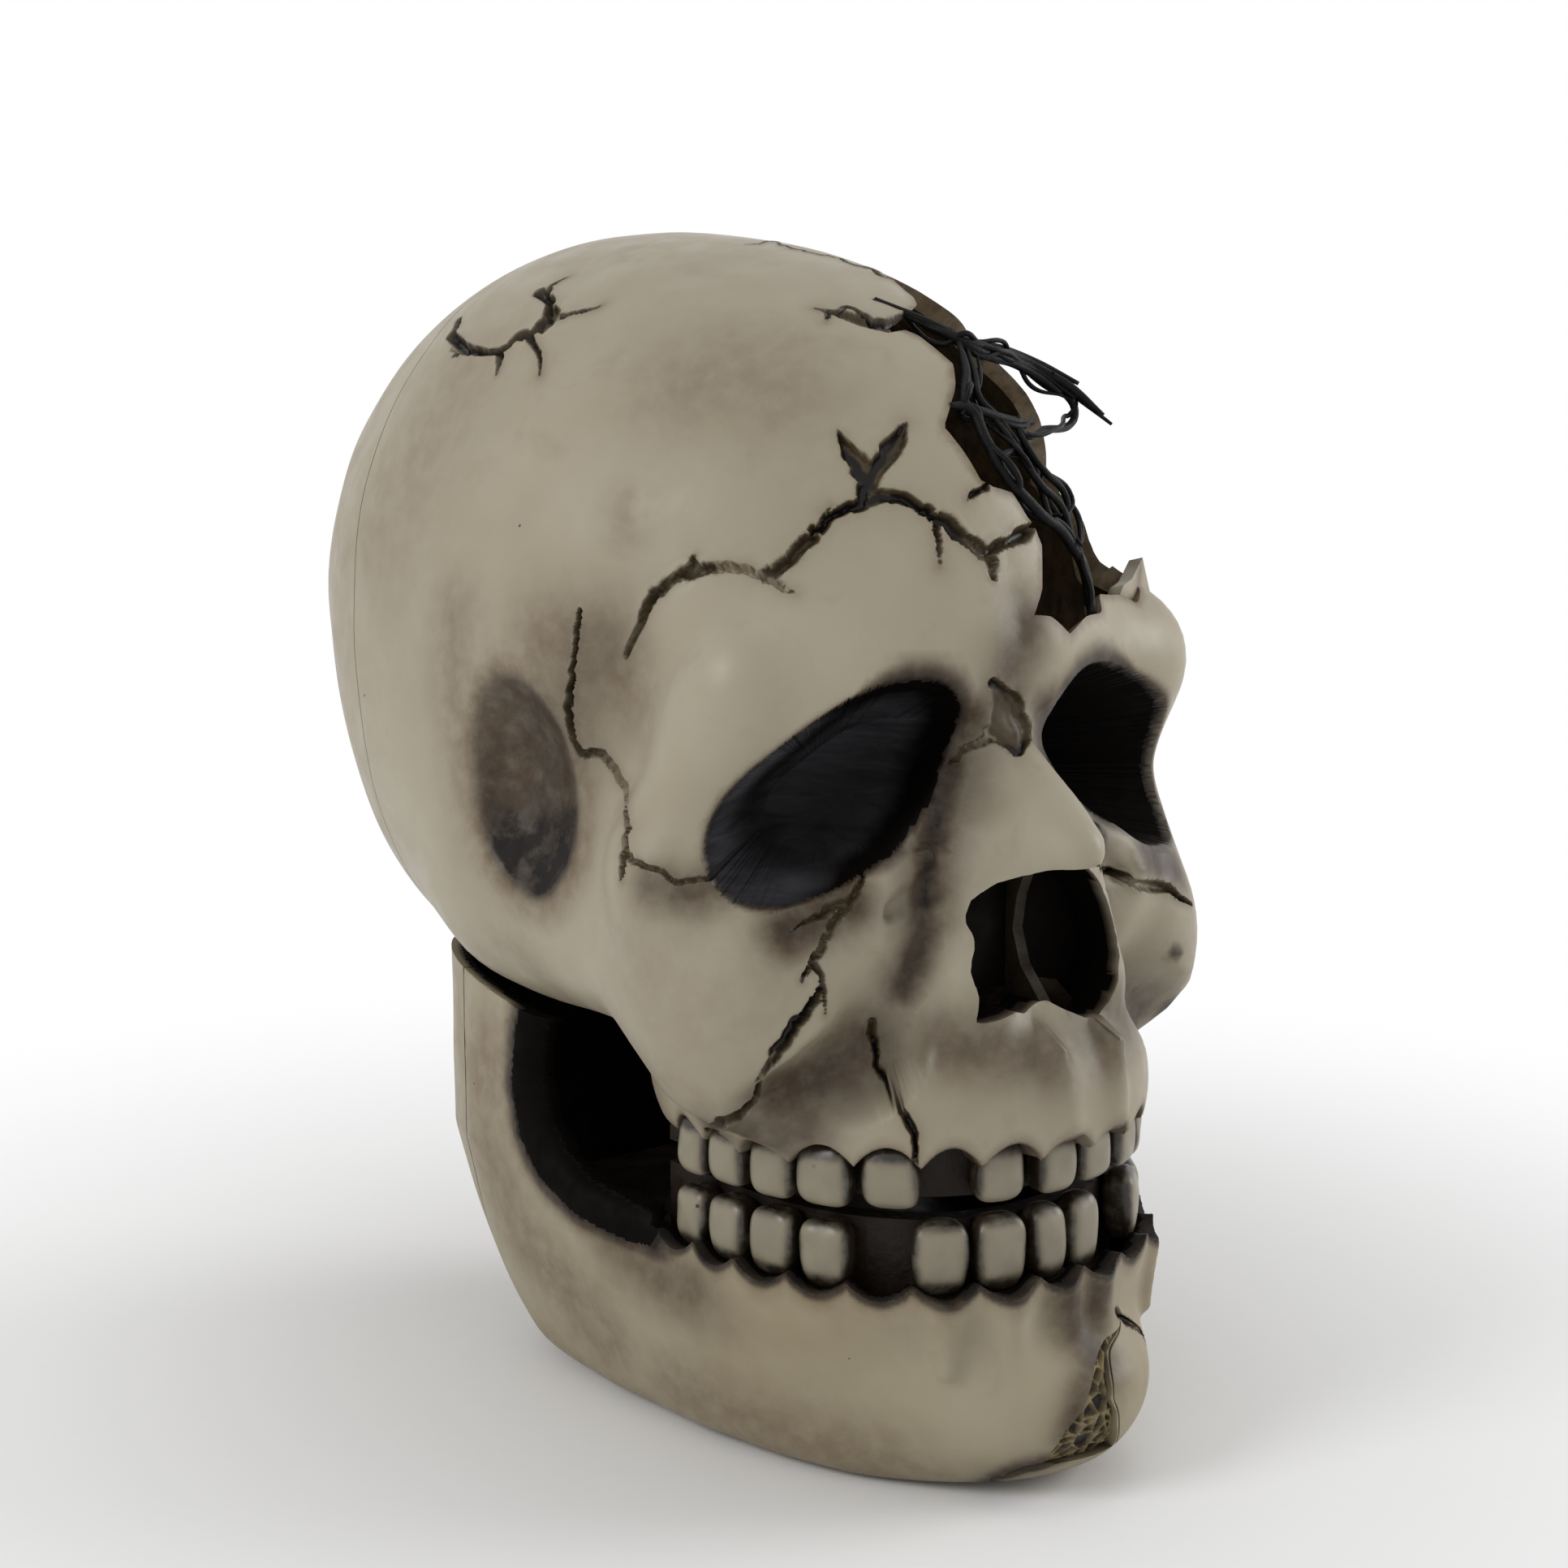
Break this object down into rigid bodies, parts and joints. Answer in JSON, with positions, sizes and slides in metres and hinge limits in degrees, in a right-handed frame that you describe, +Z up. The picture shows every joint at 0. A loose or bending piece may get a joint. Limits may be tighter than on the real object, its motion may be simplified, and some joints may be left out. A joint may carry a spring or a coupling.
{
  "type": "halloween skull decoration",
  "caption": "Life-size cracked skull ornament that stands on its jaw, with a broken forehead, dark eye sockets, loose-looking teeth and a cranium that tilts back on a rear hinge.",
  "frame": {"origin": "point on the flat underside, on the mid-plane of the skull", "axes": "+Z up, the face looks towards -Y, the skull's left side is +X"},
  "size_m": [0.1252, 0.2004, 0.218],
  "materials": {
    "skull_shell": "semi-gloss painted bone with dark airbrushed hollows",
    "jaw_shell": "semi-gloss painted bone, browner than the cranium",
    "tooth": "semi-gloss painted bone",
    "gum": "glossy dark brown paint",
    "marrow": "dark brown honeycomb",
    "strand": "glossy black",
    "pin": "plain steel",
    "base_plate": "plain bone-coloured plastic"
  },
  "bodies": {
    "jaw": {"jaw_front_shell": "jaw_shell", "jaw_rear_shell": "jaw_shell", "base_plate": "base_plate", "lower_gum": "gum", "chin_chip": "jaw_shell", "chin_marrow": "marrow", "hinge_pin": "pin", "lower_tooth_right_1": "tooth", "lower_tooth_right_2": "tooth", "lower_tooth_right_3": "tooth", "lower_tooth_right_5": "tooth", "lower_tooth_right_6": "tooth", "lower_tooth_right_7": "tooth", "lower_tooth_right_8": "tooth", "lower_tooth_left_1": "tooth", "lower_tooth_left_3": "tooth", "lower_tooth_left_4": "tooth", "lower_tooth_left_5": "tooth", "lower_tooth_left_6": "tooth", "lower_tooth_left_7": "tooth", "lower_tooth_left_8": "tooth"},
    "cranium": {"face_shell": "skull_shell", "rear_shell": "skull_shell", "upper_gum": "gum", "root_strands": "strand", "nasal_septum": "skull_shell", "upper_tooth_right_1": "tooth", "upper_tooth_right_2": "tooth", "upper_tooth_right_4": "tooth", "upper_tooth_right_5": "tooth", "upper_tooth_right_6": "tooth", "upper_tooth_right_7": "tooth", "upper_tooth_right_8": "tooth", "upper_tooth_left_1": "tooth", "upper_tooth_left_2": "tooth", "upper_tooth_left_3": "tooth", "upper_tooth_left_4": "tooth", "upper_tooth_left_5": "tooth", "upper_tooth_left_6": "tooth", "upper_tooth_left_7": "tooth", "upper_tooth_left_8": "tooth"}
  },
  "joints": [
    {"name": "jaw_hinge", "type": "hinge", "parent": "jaw", "child": "cranium", "pos_m": [0, 0.056, 0.0785], "axis": [-1, 0, 0], "range_deg": [0, 14]}
  ]
}
